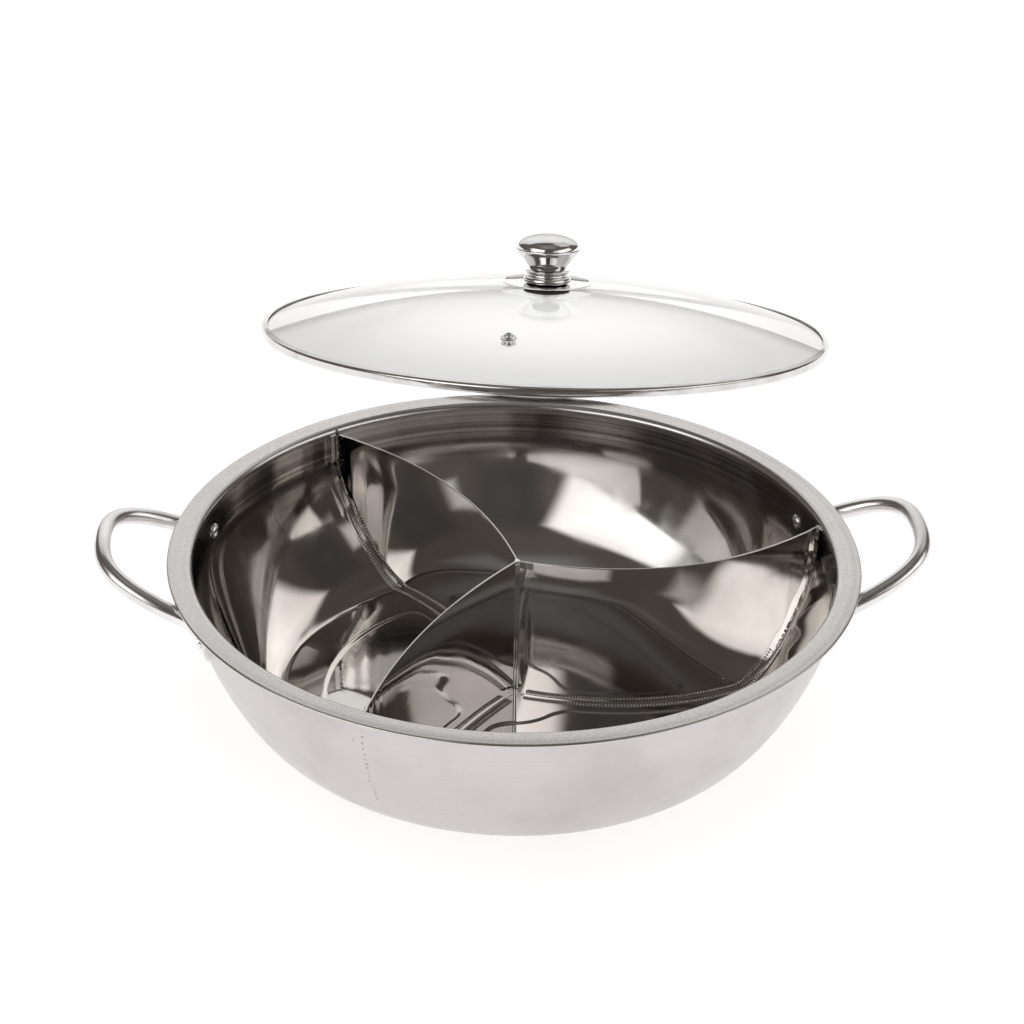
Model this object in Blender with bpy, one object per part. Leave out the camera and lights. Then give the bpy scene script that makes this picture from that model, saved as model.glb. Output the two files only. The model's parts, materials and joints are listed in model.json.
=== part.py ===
"""Divided steel hot pot with its glass lid. Metres, +Z up.

The origin is under the middle of the pot's base and the two handles lie along X. The lid is set
down behind the pot: the front of its band rests on the pot's rim, the back of it on the table.
"""

import math

import bmesh
import bpy
from mathutils import Matrix, Vector

GAP = 0.0003                       # kept between neighbouring pieces
UP = Vector((0.0, 0.0, 1.0))

# Bowl, drawn from one sheet
RIM_R = 0.180                      # outer edge of the flange
POT_H = 0.0895                     # top of the flange above the table
SHEET = 0.0010
HEM_T = 0.0020                     # the flange's folded edge
HEM_W = 0.0050
WALL_R = 0.1668                    # inside of the upright wall
WALL_DROP = 0.0250                 # height of the upright wall with its rounded lip
LIP_R = 0.0032                     # inner corner between wall and flange
BASE_R = 0.1225                    # flat underside
SLOPE_R = 0.1450                   # where the sloping wall aims at the table
FLOOR_T = 0.0016
FLOOR_INSET = 0.0018               # the inner floor's edge, inside of BASE_R
BOWL_SIDES = 60
SLOPE_STEPS = 6

# Raised lines in the floor: each compartment's middle is pressed down
PANEL_DEPTH = 0.0006
PANEL_SLOPE = 0.0024               # width of its slanting edge
PANEL_OUT = 0.1010
PANEL_IN = 0.0280
PANEL_CORNER = 0.0080
PANEL_MARGIN = 0.0090              # from the middle of a partition to the panel
CUT_OVER = 0.0010                  # that the cutters stand clear of what they cut

# Partitions: name, direction of the tip in degrees, sideways bow, side of the welded foot
HUB = Vector((0.0015, 0.0, 0.0))
BLADES = (
    ("partition_rear", 122.8, -0.0170, 1),
    ("partition_front", 240.9, -0.0100, 1),
    ("partition_right", 9.4, -0.0240, -1),
)
BLADE_T = 0.0010
BLADE_TIP_R = 0.1655
BLADE_DROP_HUB = 0.0057            # top edge below the flange, at the hub and at the tip
BLADE_DROP_TIP = 0.0034
BLADE_STEPS = 12
BLADE_LIFT = 0.0008                # above the faceted floor and wall
FOOT_W = 0.0054
FOOT_T = 0.0008
FOOT_START = 0.0070
SEAM_R = 0.0017                    # round weld seam where the partitions meet
SEAM_GAP = 0.0008                  # from the seam to the partitions' first edges

# Rod handles, riveted under the flange
ROD_R = 0.0044
TAB_T = 0.0036                     # flattened rod end
TAB_H = 0.0140
TAB_GAP = 0.0004                   # between the wall and the flattened end
TAB_R = WALL_R + SHEET + TAB_GAP + TAB_T / 2
TAB_TURNS = (0.052, 0.030, 0.0, -0.022)   # its stations in radians round the pot, from the rivet
RIVET_AZ = math.radians(19.4)
RIVET_DROP = 0.0170
BEND = Vector((0.1644, 0.0493, -0.0140))  # where the rod turns out from under the flange
LOOP = ((0.1678, 0.0470), (0.2063, 0.0411), (0.2123, 0.0247), (0.2123, 0.0))
LOOP_STEPS = 8
ROD_SIDES = 8
ROD_RISE = math.tan(math.radians(25.0))   # the loop slants up, away from the pot
ROD_RISE_FROM = (0.1683, -0.0101)         # x, and z below the flange, where it starts

# Rivets
SHANK_R = 0.0021
SHANK_HOLE_R = 0.0025
RIVET_HEAD_R = 0.0043
RIVET_HEAD_H = 0.0020
RIVET_TAIL_R = 0.0034
RIVET_TAIL_H = 0.0014
RIVET_SIDES = 10
HOLE_SIDES = 12
HOLE_REACH = 0.0040                # of a rivet hole's cutter, each way

# Lid, in its own frame: the origin is in the middle of the band's lower edge
LID_R = 0.180
LID_SIDES = 48
BAND_H = 0.0050                    # of the band's upright side
BAND_T = 0.0006
BAND_LIP_R = 0.1760                # inner edge of what laps over the glass
GLASS_T = 0.0032
GLASS_R = 0.1786
GLASS_EDGE_Z = 0.0042
GLASS_TOP = 0.0330
SPHERE_R = (GLASS_R**2 + (GLASS_TOP - GLASS_EDGE_Z)**2) / (2 * (GLASS_TOP - GLASS_EDGE_Z))
DOME_STEPS = 4

# Knob, from the dome up: disc, collar and cap; under the glass a washer and a screw
KNOB_SIDES = 18
DISC_R = 0.0285
DISC_FLAT_R = 0.0130
DISC_T = 0.0014
DISC_EDGE_T = 0.0008
DISC_EDGE_RISE = 0.0016            # its edge stands off the dome
COLLAR_R = 0.0153
COLLAR_WAIST_R = 0.0130
COLLAR_H = 0.0080
CAP_FOOT_R = 0.0112
CAP_R = 0.0206
CAP_CONE_H = 0.0142
CAP_TOP_R = 0.0200
CAP_TOP_H = 0.0088
WASHER_R = 0.0150
WASHER_T = 0.0026
SCREW_R = 0.0040
SCREW_CLEAR_R = SCREW_R + GAP
SCREW_HEAD_R = 0.0080
SCREW_HEAD_H = 0.0034
SCREW_SIDES = 14

# Steam vent, a metal eyelet in the glass
VENT_R = 0.118                     # from the lid's axis
VENT_AZ = math.radians(-98.6)
VENT_HOLE_R = 0.0034
VENT_TUBE_R = 0.0029
VENT_BORE_R = 0.0012
VENT_FLANGE_R = 0.0049
VENT_TOP = 0.0035
VENT_GAP = 0.0009                  # from the glass's underside to the flange below it
VENT_SIDES = 10

# Where the lid rests
LID_TILT = math.radians(14.60)
LID_OVERLAP = 0.0060               # of its band over the pot's flange
LID_AZ = math.radians(83.0)        # direction from the pot to the lid
LID_LIFT = 0.0002


def clear_scene():
    for obj in list(bpy.data.objects):
        bpy.data.objects.remove(obj, do_unlink=True)


def material(name, color, roughness, metallic, transmission=0.0):
    mat = bpy.data.materials.new(name)
    mat.use_nodes = True
    shader = mat.node_tree.nodes["Principled BSDF"]
    shader.inputs["Base Color"].default_value = (*color, 1.0)
    shader.inputs["Roughness"].default_value = roughness
    shader.inputs["Metallic"].default_value = metallic
    shader.inputs["Transmission Weight"].default_value = transmission
    return mat


def finish(name, bm, mat, parent=None, matrix=None):
    """Turn a bmesh into a named object with smooth round sides."""
    bmesh.ops.recalc_face_normals(bm, faces=bm.faces)
    mesh = bpy.data.meshes.new(name)
    bm.to_mesh(mesh)
    bm.free()
    mesh.materials.append(mat)
    mesh.shade_smooth()
    mesh.set_sharp_from_angle(angle=math.radians(35))
    obj = bpy.data.objects.new(name, mesh)
    bpy.context.collection.objects.link(obj)
    if matrix is not None:
        obj.matrix_world = matrix
    if parent is not None:
        obj.parent = parent
    return obj


def combine(obj, other, operation):
    """Cut or join with another object, which stays behind as a hidden guide."""
    other.hide_render = True
    other.display_type = "WIRE"
    modifier = obj.modifiers.new(other.name, "BOOLEAN")
    modifier.operation = operation
    modifier.object = other
    modifier.solver = "EXACT"


def cut_hole(obj, name, radius, reach, mat, matrix, parent=None):
    """Drill through along the matrix's Z axis."""
    hole = turned([(radius, -reach), (radius, reach)], HOLE_SIDES)
    combine(obj, finish(name, hole, mat, parent, matrix), "DIFFERENCE")


def arc(center, radius, start, end, steps):
    """Points (r, z) on an arc between two angles in degrees."""
    angles = [math.radians(start + (end - start) * i / steps) for i in range(steps + 1)]
    return [(center[0] + radius * math.cos(a), center[1] + radius * math.sin(a)) for a in angles]


def bezier(p0, p1, p2, p3, steps):
    points = []
    for i in range(steps + 1):
        t = i / steps
        s = 1 - t
        weights = (s**3, 3 * s * s * t, 3 * s * t * t, t**3)
        points.append(tuple(sum(w * p[k] for w, p in zip(weights, (p0, p1, p2, p3))) for k in (0, 1)))
    return points


def skin(rings, closed=False):
    """Bridge rings of points into a solid; the ends are capped, or meet when closed."""
    bm = bmesh.new()
    loops = [[bm.verts.new(point) for point in ring] for ring in rings]
    pairs = list(zip(loops, loops[1:]))
    if closed:
        pairs.append((loops[-1], loops[0]))
    for low, high in pairs:
        count = len(low)
        for i in range(count):
            j = (i + 1) % count
            bm.faces.new((low[i], low[j], high[j], high[i]))
    if not closed:
        bm.faces.new(loops[0])
        bm.faces.new(loops[-1])
    return bm


def turned(profile, sides, closed=False):
    """A solid of revolution about Z; an open profile gets flat end caps."""
    angles = [math.tau * i / sides for i in range(sides)]
    rings = [[(r * math.cos(a), r * math.sin(a), z) for a in angles] for r, z in profile]
    return skin(rings, closed)


# Bowl ------------------------------------------------------------------------------------------

def slope_curve(r_top, r_foot, z_foot):
    """The sloping wall, from the floor or underside up to the upright wall."""
    z_top = POT_H - WALL_DROP
    bend = (SLOPE_R + r_foot - BASE_R, z_foot)
    return bezier((r_foot, z_foot), bend, (r_top, z_top - LIP_R), (r_top, z_top), SLOPE_STEPS)


def inner_profile():
    """Inside of the bowl from the floor's edge to the top of the upright wall."""
    return slope_curve(WALL_R, BASE_R - FLOOR_INSET, FLOOR_T)


def bowl_profile():
    outer = slope_curve(WALL_R + SHEET, BASE_R, 0.0)
    corner = (WALL_R + LIP_R, POT_H - LIP_R)
    hem_r = HEM_T / 2
    under_lip = arc(corner, LIP_R - SHEET, 180, 90, 2)
    hem = [(RIM_R - HEM_W, POT_H - SHEET), (RIM_R - HEM_W, POT_H - HEM_T)]
    hem += arc((RIM_R - hem_r, POT_H - hem_r), hem_r, -90, 90, 3)
    lip = arc(corner, LIP_R, 90, 180, 3)
    return outer + under_lip + hem + lip + inner_profile()[::-1]


def blade_plan(tip_az, bow, s):
    """Middle line of a partition seen from above: a bowed line from the hub to the wall."""
    tip = Vector((math.cos(tip_az), math.sin(tip_az), 0.0)) * BLADE_TIP_R
    chord = tip - HUB
    side = Vector((-chord.y, chord.x, 0.0)).normalized()
    return HUB + chord * s + side * (4 * bow * s * (1 - s))


def blade_angle(tip_az, bow, radius):
    """Direction in which a partition crosses a circle about the pot's axis."""
    low = 0.0
    high = 1.0
    for _ in range(30):
        middle = (low + high) / 2
        if blade_plan(tip_az, bow, middle).length < radius:
            low = middle
        else:
            high = middle
    point = blade_plan(tip_az, bow, low)
    return math.atan2(point.y, point.x)


def panel_outline(first, second, inset):
    """Outline of a floor panel between two partitions, with rounded corners."""
    r_in = PANEL_IN + inset
    r_out = PANEL_OUT - inset
    corner = PANEL_CORNER
    radii = [r_in + corner * (1 - math.cos(math.radians(90 * i / 3))) for i in range(4)]
    radii += [r_in + corner + (r_out - r_in - 2 * corner) * i / 4 for i in (1, 2, 3)]
    radii += [r_out - corner * (1 - math.sin(math.radians(90 * i / 3))) for i in range(4)]
    edges = ([], [])
    for radius in radii:
        into = max(r_in + corner - radius, radius - r_out + corner, 0.0)
        rounding = corner - math.sqrt(max(corner**2 - into**2, 0.0))
        margin = (PANEL_MARGIN + inset + rounding) / radius
        start = blade_angle(math.radians(first[1]), first[2], radius) + margin
        end = blade_angle(math.radians(second[1]), second[2], radius) - margin
        if end < start:
            end += math.tau
        edges[0].append((radius, start))
        edges[1].append((radius, end))
    (start, end) = (edges[0][-1][1], edges[1][-1][1])
    outer = [(r_out, start + (end - start) * i / 12) for i in range(1, 12)]
    (start, end) = (edges[0][0][1], edges[1][0][1])
    inner = [(r_in, end + (start - end) * i / 4) for i in range(1, 4)]
    polar = edges[0] + outer + edges[1][::-1] + inner
    return [(r * math.cos(a), r * math.sin(a)) for r, a in polar]


def make_bowl(mat):
    bowl = finish("pot_bowl", turned(bowl_profile(), BOWL_SIDES), mat)
    rate = PANEL_SLOPE / PANEL_DEPTH
    for index, blade in enumerate(BLADES):
        after = BLADES[(index + 1) % len(BLADES)]
        rings = []
        for rise in (CUT_OVER, -PANEL_DEPTH):
            outline = panel_outline(blade, after, -rise * rate)
            rings.append([(x, y, FLOOR_T + rise) for x, y in outline])
        cutter = finish(f"cut_panel_{index + 1}", skin(rings), mat)
        combine(bowl, cutter, "DIFFERENCE")
    for index, azimuth in enumerate(rivet_azimuths()):
        cut_hole(bowl, f"cut_rivet_{index + 1}", SHANK_HOLE_R, HOLE_REACH, mat, radial(azimuth, WALL_R))


# Partitions ------------------------------------------------------------------------------------

def lifted_profile(lift):
    """The bowl's inner profile from the axis to the rim, moved into the bowl by a distance."""
    profile = [Vector(p) for p in [(0.0, FLOOR_T)] + inner_profile() + [(WALL_R, POT_H)]]
    normals = []
    for low, high in zip(profile, profile[1:]):
        run = (high - low).normalized()
        normals.append(Vector((-run.y, run.x)))
    lifted = [profile[0] + normals[0] * lift]
    for point, before, after in zip(profile[1:], normals, normals[1:]):
        corner = (before + after).normalized()
        lifted.append(point + corner * (lift / corner.dot(after)))
    return lifted + [profile[-1] + normals[-1] * lift]


def height_on(profile, radius):
    for low, high in zip(profile, profile[1:]):
        if radius <= high.x:
            return low.y + (high.y - low.y) * (radius - low.x) / (high.x - low.x)
    return profile[-1].y


def pull_onto(profile, point):
    """The nearest place to a point on the surface that a profile makes."""
    flat = Vector((math.hypot(point.x, point.y), point.z))
    places = []
    for low, high in zip(profile, profile[1:]):
        run = high - low
        share = min(max((flat - low).dot(run) / run.length_squared, 0.0), 1.0)
        places.append(low + run * share)
    nearest = min(places, key=lambda place: (place - flat).length)
    return Vector((point.x * nearest.x / flat.x, point.y * nearest.x / flat.x, nearest.y))


def blade_stations(tip_az, bow):
    """Plan point, sideways direction and lower and upper height, from the hub to the wall."""
    profile = lifted_profile(BLADE_LIFT)
    start = (SEAM_R + SEAM_GAP) / BLADE_TIP_R
    stations = []
    for i in range(BLADE_STEPS + 1):
        s = start + (1 - start) * i / BLADE_STEPS
        point = blade_plan(tip_az, bow, s)
        ahead = blade_plan(tip_az, bow, s + 0.001) - blade_plan(tip_az, bow, s - 0.001)
        side = Vector((-ahead.y, ahead.x, 0.0)).normalized()
        low = height_on(profile, point.length)
        high = POT_H - BLADE_DROP_HUB + (BLADE_DROP_HUB - BLADE_DROP_TIP) * s
        stations.append((point, side, low, high))
    return stations


def blade_foot(stations, foot_side):
    """The bent lower edge: a strip along the floor, up the slope and up the wall."""
    path = [(point + UP * low, side) for point, side, low, _ in stations if point.length > FOOT_START]
    point, side, low, high = stations[-1]
    for share in (0.33, 0.66, 0.96):
        path.append((point + UP * (low + (high - low) * share), side))
    profiles = (lifted_profile(BLADE_LIFT), lifted_profile(BLADE_LIFT + FOOT_T))
    rings = []
    for point, side in path:
        across = side * foot_side
        edges = (point - across * (BLADE_T * 0.3), point + across * FOOT_W)
        lower, upper = [[pull_onto(profile, edge) for edge in edges] for profile in profiles]
        rings.append(lower + upper[::-1])
    return skin(rings)


def make_partitions(mat):
    for name, azimuth, bow, foot_side in BLADES:
        stations = blade_stations(math.radians(azimuth), bow)
        rings = []
        for point, side, low, high in stations:
            left = point + side * (BLADE_T / 2)
            right = point - side * (BLADE_T / 2)
            rings.append([left + UP * low, right + UP * low, right + UP * high, left + UP * high])
        blade = finish(name, skin(rings), mat)
        foot = finish(f"add_foot_{name}", blade_foot(stations, foot_side), mat)
        combine(blade, foot, "UNION")
    seam = [(SEAM_R, FLOOR_T + BLADE_LIFT), (SEAM_R, POT_H - BLADE_DROP_HUB)]
    finish("partition_seam", turned(seam, 12), mat, matrix=Matrix.Translation(HUB))


# Handles and rivets ----------------------------------------------------------------------------

def rivet_azimuths():
    return [base + side * RIVET_AZ for base in (0.0, math.pi) for side in (-1, 1)]


def radial(azimuth, radius):
    """Frame on the wall at rivet height, with its Z axis pointing out of the pot."""
    place = Matrix.Translation((radius * math.cos(azimuth), radius * math.sin(azimuth), POT_H - RIVET_DROP))
    return place @ Matrix.Rotation(azimuth, 4, "Z") @ Matrix.Rotation(math.pi / 2, 4, "Y")


def handle_path():
    """Half of the rod's middle line, on the +X side: its flattened end, and the loop to its top."""
    turns = [RIVET_AZ + turn for turn in TAB_TURNS]
    tab = [Vector((TAB_R * math.cos(a), TAB_R * math.sin(a), -RIVET_DROP)) for a in turns]
    loop = []
    for x, y in bezier(*LOOP, LOOP_STEPS):
        rise = (x - ROD_RISE_FROM[0]) * ROD_RISE
        loop.append(Vector((x, y, ROD_RISE_FROM[1] + rise)))
    return tab, [BEND] + loop


def rod_ring(point, ahead, flat):
    """Section across the rod: round, or flattened against the wall where flat is 1."""
    outward = Vector((point.x, point.y, 0.0)).normalized()
    thick = (outward - ahead * outward.dot(ahead)).normalized()
    tall = ahead.cross(thick)
    half_t = ROD_R + (TAB_T / 2 - ROD_R) * flat
    half_h = ROD_R + (TAB_H / 2 - ROD_R) * flat
    ring = []
    for i in range(ROD_SIDES):
        angle = math.tau * (i + 0.5) / ROD_SIDES
        ring.append(point + thick * (half_t * math.cos(angle)) + tall * (half_h * math.sin(angle)))
    return ring


def make_handle(name, mat, turn):
    tab, rod = handle_path()
    half = tab + rod
    flats = [0.9, 1.0, 1.0, 1.0, 0.45] + [0.0] * (len(rod) - 1)
    path = half + [Vector((p.x, -p.y, p.z)) for p in half[-2::-1]]
    flats = flats + flats[-2::-1]
    rings = []
    for i, (point, flat) in enumerate(zip(path, flats)):
        ahead = (path[min(i + 1, len(path) - 1)] - path[max(i - 1, 0)]).normalized()
        rings.append(rod_ring(point, ahead, flat))
    matrix = Matrix.Rotation(turn, 4, "Z") @ Matrix.Translation((0, 0, POT_H))
    handle = finish(name, skin(rings), mat, matrix=matrix)
    for end, side in (("start", 1), ("end", -1)):
        place = radial(turn + side * RIVET_AZ, TAB_R)
        cut_hole(handle, f"cut_{name}_{end}", SHANK_HOLE_R, HOLE_REACH, mat, place)


def make_rivets(mat):
    """Round heads inside the pot, shanks through wall and rod end, flat heads outside."""
    head_z = -2 * GAP
    tail_z = SHEET + TAB_GAP + TAB_T + GAP
    profile = [
        (RIVET_HEAD_R * math.cos(math.radians(a)), head_z - RIVET_HEAD_H * math.sin(math.radians(a)))
        for a in (75, 50, 25, 0)
    ]
    profile += [(SHANK_R, head_z), (SHANK_R, tail_z)]
    profile += [(RIVET_TAIL_R, tail_z), (RIVET_TAIL_R * 0.75, tail_z + RIVET_TAIL_H)]
    for index, azimuth in enumerate(rivet_azimuths()):
        finish(f"rivet_{index + 1}", turned(profile, RIVET_SIDES), mat, matrix=radial(azimuth, WALL_R))


# Lid -------------------------------------------------------------------------------------------

def glass_height(radius):
    """Outer surface of the lid's dome above the band's lower edge."""
    return GLASS_TOP - SPHERE_R + math.sqrt(SPHERE_R**2 - radius**2)


def lid_pose():
    """The lid leans back: its front edge is over the pot's rim, its back edge on the table."""
    reach = RIM_R - LID_OVERLAP + LID_R * math.cos(LID_TILT)
    height = LID_R * math.sin(LID_TILT) + LID_LIFT
    place = Matrix.Translation((reach * math.cos(LID_AZ), reach * math.sin(LID_AZ), height))
    face = Matrix.Rotation(LID_AZ - math.pi / 2, 4, "Z")
    pose = bpy.data.objects.new("lid_pose", None)
    bpy.context.collection.objects.link(pose)
    pose.matrix_world = place @ face @ Matrix.Rotation(-LID_TILT, 4, "X")
    return pose


def vent_frame():
    """Frame on the glass at the steam vent, with Z along the dome's normal."""
    z = glass_height(VENT_R)
    lean = math.asin(VENT_R / SPHERE_R)
    place = Matrix.Translation((VENT_R * math.cos(VENT_AZ), VENT_R * math.sin(VENT_AZ), z))
    return place @ Matrix.Rotation(VENT_AZ, 4, "Z") @ Matrix.Rotation(lean, 4, "Y")


def make_dome(pose, mat):
    radii = [GLASS_R * math.sin(math.radians(90 * i / DOME_STEPS)) for i in range(DOME_STEPS, 0, -1)]
    outer = [(r, glass_height(r)) for r in radii + [DISC_R + 2 * GAP, SCREW_CLEAR_R + GAP]]
    inner = [(r, z - GLASS_T) for r, z in outer[::-1]]
    dome = finish("lid_glass", turned(outer + inner, LID_SIDES, closed=True), mat, pose)
    cut_hole(dome, "cut_vent", VENT_HOLE_R, 2.5 * GLASS_T, mat, vent_frame(), pose)


def make_band(pose, mat):
    """Rolled steel edge: it laps over the glass and is folded in under it."""
    inside = GLASS_R + BAND_T
    edge = LID_R - BAND_T
    under_glass = GLASS_R - 0.0022
    lap = BAND_H + 2 * BAND_T
    band = [
        (BAND_LIP_R, lap), (edge, BAND_H + BAND_T / 2), (LID_R, BAND_H - BAND_T), (LID_R, BAND_T),
        (edge, 0.0), (under_glass, 0.0), (under_glass, BAND_T), (inside, BAND_T),
        (inside, GLASS_EDGE_Z + BAND_T), (BAND_LIP_R, lap - BAND_T),
    ]
    finish("lid_band", turned(band, LID_SIDES, closed=True), mat, pose)


def make_knob(pose, mat):
    """Thin disc, waisted collar and mushroom cap, one above the other round the screw."""
    hole = SCREW_CLEAR_R
    base = GLASS_TOP + GAP
    edge = base + DISC_EDGE_RISE
    disc = [
        (hole, base), (DISC_FLAT_R, base), (DISC_R, edge), (DISC_R, edge + DISC_EDGE_T),
        (DISC_FLAT_R, base + DISC_T), (hole, base + DISC_T),
    ]
    finish("knob_disc", turned(disc, KNOB_SIDES, closed=True), mat, pose)

    base += DISC_T + GAP
    collar = [(hole, base), (COLLAR_R - 0.0018, base)]
    for share, radius in (
        (0.20, COLLAR_R - 0.0003), (0.38, COLLAR_R), (0.58, COLLAR_R - 0.0018), (0.73, COLLAR_WAIST_R),
        (0.92, COLLAR_WAIST_R + 0.0012), (1.00, COLLAR_WAIST_R + 0.0012), (1.00, hole),
    ):
        collar.append((radius, base + COLLAR_H * share))
    finish("knob_collar", turned(collar, KNOB_SIDES, closed=True), mat, pose)

    base += COLLAR_H + GAP
    rim = base + CAP_CONE_H
    cap = [(CAP_FOOT_R, base), (CAP_FOOT_R + 0.0006, base + 0.0012), (0.0160, base + 0.44 * CAP_CONE_H)]
    cap += [(CAP_TOP_R, rim - 0.0024), (CAP_R, rim - 0.0011), (CAP_TOP_R, rim)]
    for angle in (20, 40, 60, 80):
        a = math.radians(angle)
        cap.append((CAP_TOP_R * math.cos(a), rim + CAP_TOP_H * math.sin(a)))
    finish("knob_cap", turned(cap, KNOB_SIDES), mat, pose)
    return base


def make_fastening(pose, cap_base, rubber, steel):
    """Rubber washer and screw head under the glass; the screw ends below the cap."""
    under = GLASS_TOP - GLASS_T
    foot = under - WASHER_T
    washer = [(SCREW_CLEAR_R, under - GAP), (WASHER_R, under - 2 * GAP), (WASHER_R, foot)]
    washer += [(SCREW_CLEAR_R, foot)]
    finish("knob_washer", turned(washer, KNOB_SIDES, closed=True), rubber, pose)
    head = foot - GAP
    chamfer = SCREW_HEAD_H / 3
    screw = [(SCREW_HEAD_R - 1.5 * chamfer, head - SCREW_HEAD_H), (SCREW_HEAD_R, head - 2 * chamfer)]
    screw += [(SCREW_HEAD_R, head), (SCREW_R, head), (SCREW_R, cap_base - GAP)]
    finish("knob_screw", turned(screw, SCREW_SIDES), steel, pose)


def make_vent(pose, mat):
    under = -GLASS_T - VENT_GAP
    above = VENT_HOLE_R * 0.12
    step = 0.0010
    eyelet = [
        (VENT_BORE_R + 0.0004, under - step), (VENT_FLANGE_R - GAP, under - step),
        (VENT_FLANGE_R - GAP, under), (VENT_TUBE_R, under), (VENT_TUBE_R, above),
        (VENT_FLANGE_R, above), (VENT_FLANGE_R - 0.0002, above + 0.8 * step), (VENT_TUBE_R - 0.0002, 0.0013),
        (VENT_TUBE_R - 0.0002, 0.0022), (0.0020, VENT_TOP - 0.0002), (VENT_BORE_R, VENT_TOP),
        (VENT_BORE_R, step),
    ]
    finish("lid_vent", turned(eyelet, VENT_SIDES, closed=True), mat, pose, vent_frame())


def main():
    clear_scene()
    satin = material("satin_steel", (0.60, 0.58, 0.56), 0.30, 1.0)
    polished = material("polished_steel", (0.66, 0.64, 0.62), 0.12, 1.0)
    chrome = material("chrome", (0.75, 0.74, 0.73), 0.06, 1.0)
    glass = material("clear_glass", (0.93, 0.96, 0.95), 0.03, 0.0, 1.0)
    rubber = material("dark_rubber", (0.05, 0.05, 0.05), 0.70, 0.0)
    make_bowl(satin)
    make_partitions(polished)
    make_handle("handle_right", polished, 0.0)
    make_handle("handle_left", polished, math.pi)
    make_rivets(polished)
    pose = lid_pose()
    make_dome(pose, glass)
    make_band(pose, polished)
    cap_base = make_knob(pose, chrome)
    make_fastening(pose, cap_base, rubber, polished)
    make_vent(pose, polished)


main()
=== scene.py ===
"""Looks of the divided steel hot pot and its glass lid. Metres, +Z up, the frame's own axes.

Every piece is modelled again, finer, over the solid that it replaces. The steel is told apart by
its finish: mirror-polished inside, turned on the upright wall, satin outside and on the flange.
Some colour is painted light: painted shade darkens the upright wall and greys the glass towards
its band, and a painted highlight brightens the welding wheel's stitches.
"""

import json
import math
import random
from collections import namedtuple
from functools import cached_property

import bmesh
import bpy
from mathutils import Matrix, Vector

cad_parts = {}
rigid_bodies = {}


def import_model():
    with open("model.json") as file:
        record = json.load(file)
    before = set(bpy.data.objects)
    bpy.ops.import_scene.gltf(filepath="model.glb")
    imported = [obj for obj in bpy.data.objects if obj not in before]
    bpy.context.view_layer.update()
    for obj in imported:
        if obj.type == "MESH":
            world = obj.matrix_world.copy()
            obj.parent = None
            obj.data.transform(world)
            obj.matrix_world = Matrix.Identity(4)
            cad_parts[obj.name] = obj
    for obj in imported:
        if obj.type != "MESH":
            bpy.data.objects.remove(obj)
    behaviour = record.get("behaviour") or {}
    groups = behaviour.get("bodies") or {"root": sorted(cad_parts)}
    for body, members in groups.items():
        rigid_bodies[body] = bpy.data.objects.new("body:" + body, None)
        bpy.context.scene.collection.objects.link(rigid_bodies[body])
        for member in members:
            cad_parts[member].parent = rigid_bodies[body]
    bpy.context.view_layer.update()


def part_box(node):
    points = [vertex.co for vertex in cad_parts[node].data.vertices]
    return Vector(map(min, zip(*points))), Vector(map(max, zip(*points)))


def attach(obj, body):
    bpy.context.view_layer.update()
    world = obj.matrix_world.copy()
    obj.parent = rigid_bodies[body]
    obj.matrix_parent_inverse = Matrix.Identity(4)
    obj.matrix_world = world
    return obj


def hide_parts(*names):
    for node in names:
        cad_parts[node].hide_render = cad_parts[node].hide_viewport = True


# Bowl: the driving sizes of the solids, with a softer bend below the upright wall
WALL_R = 0.1668                    # inside of the upright wall
SHEET = 0.0010
HEM_T = 0.0020
HEM_W = 0.0050
HEM_LINE = 0.0020                  # faint line on the flange, in from the hem's round edge
HEM_LINE_W = 0.0002
HEM_LINE_DEPTH = 0.00002
WALL_DROP = 0.0250                 # height of the upright wall with its rounded lip
LIP_R = 0.0032
BEND_RISE = 0.0050                 # the bend from slope to wall: how far it reaches up the wall
BEND_REACH = 0.0120                # and how soft it is
BASE_R = 0.1225
SLOPE_R = 0.1450
FLOOR_T = 0.0016
FLOOR_R = BASE_R - 0.0018
SLOPE_STEPS = 36
ARC_STEPS = 80                     # round each compartment's share of the wall

# Floor panels
PANEL_DEPTH = 0.0006
PANEL_SLOPE = 0.0024
PANEL_OUT = 0.1010
PANEL_IN = 0.0280
PANEL_CORNER = 0.0080
PANEL_MARGIN = 0.0090
HUB_HOLE_R = 0.0012                # where the compartments' floors meet, under the seam
RADIAL_STEPS = 36
INNER_STEPS = 8

# Partitions
HUB = Vector((0.0015, 0.0, 0.0))   # where they meet
Blade = namedtuple("Blade", "name tip_az bow foot_side hand_weld")
BLADES = (                         # hand_weld: the share of the foot that is welded by hand
    Blade("rear", math.radians(122.8), -0.0170, 1, 0.25),
    Blade("front", math.radians(240.9), -0.0100, 1, 0.20),
    Blade("right", math.radians(9.4), -0.0240, -1, 0.30),
)
BLADE_T = 0.0010
BLADE_TIP_R = 0.1660
BLADE_DROP_HUB = 0.0057
BLADE_DROP_TIP = 0.0034
BLADE_STEPS = 72
HALVINGS = 30                      # to find where a partition crosses a circle
BLADE_LIFT = 0.0002                # gap under their lower edge, hidden by the folds
FOOT_W = 0.0054
FOOT_T = 0.0006
FOOT_BEVEL = 0.0004
FOOT_START = 0.0070
FOOT_WALL_STEPS = 14
FOOT_WALL_SHARE = 0.98             # of the tip's height
SEAM_SIDES = 96
SEAM_R = 0.0017
SEAM_LOBE = 0.0003                 # how far the bent edges stand out of the seam
BEAD_SIDES = 8                     # round a weld bead
STITCH_PITCH = 0.0017              # marks of the welding wheel
STITCH_SIZE = (0.00058, 0.00120, 0.00055)  # half length, half width and height
STITCH_SINK = 0.0001
STITCH_PLACE = 0.66                # of the foot's width
FOLD_R = 0.0006                    # fold between sheet and foot
RIPPLE = 0.00014                   # buckling of the sheet beside the weld on the wall
RIPPLE_PITCH = 0.0105
RIPPLE_REACH = 0.022
THROUGH_PITCH = 0.0036             # spots of the wall's welds that show on the outside
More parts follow.
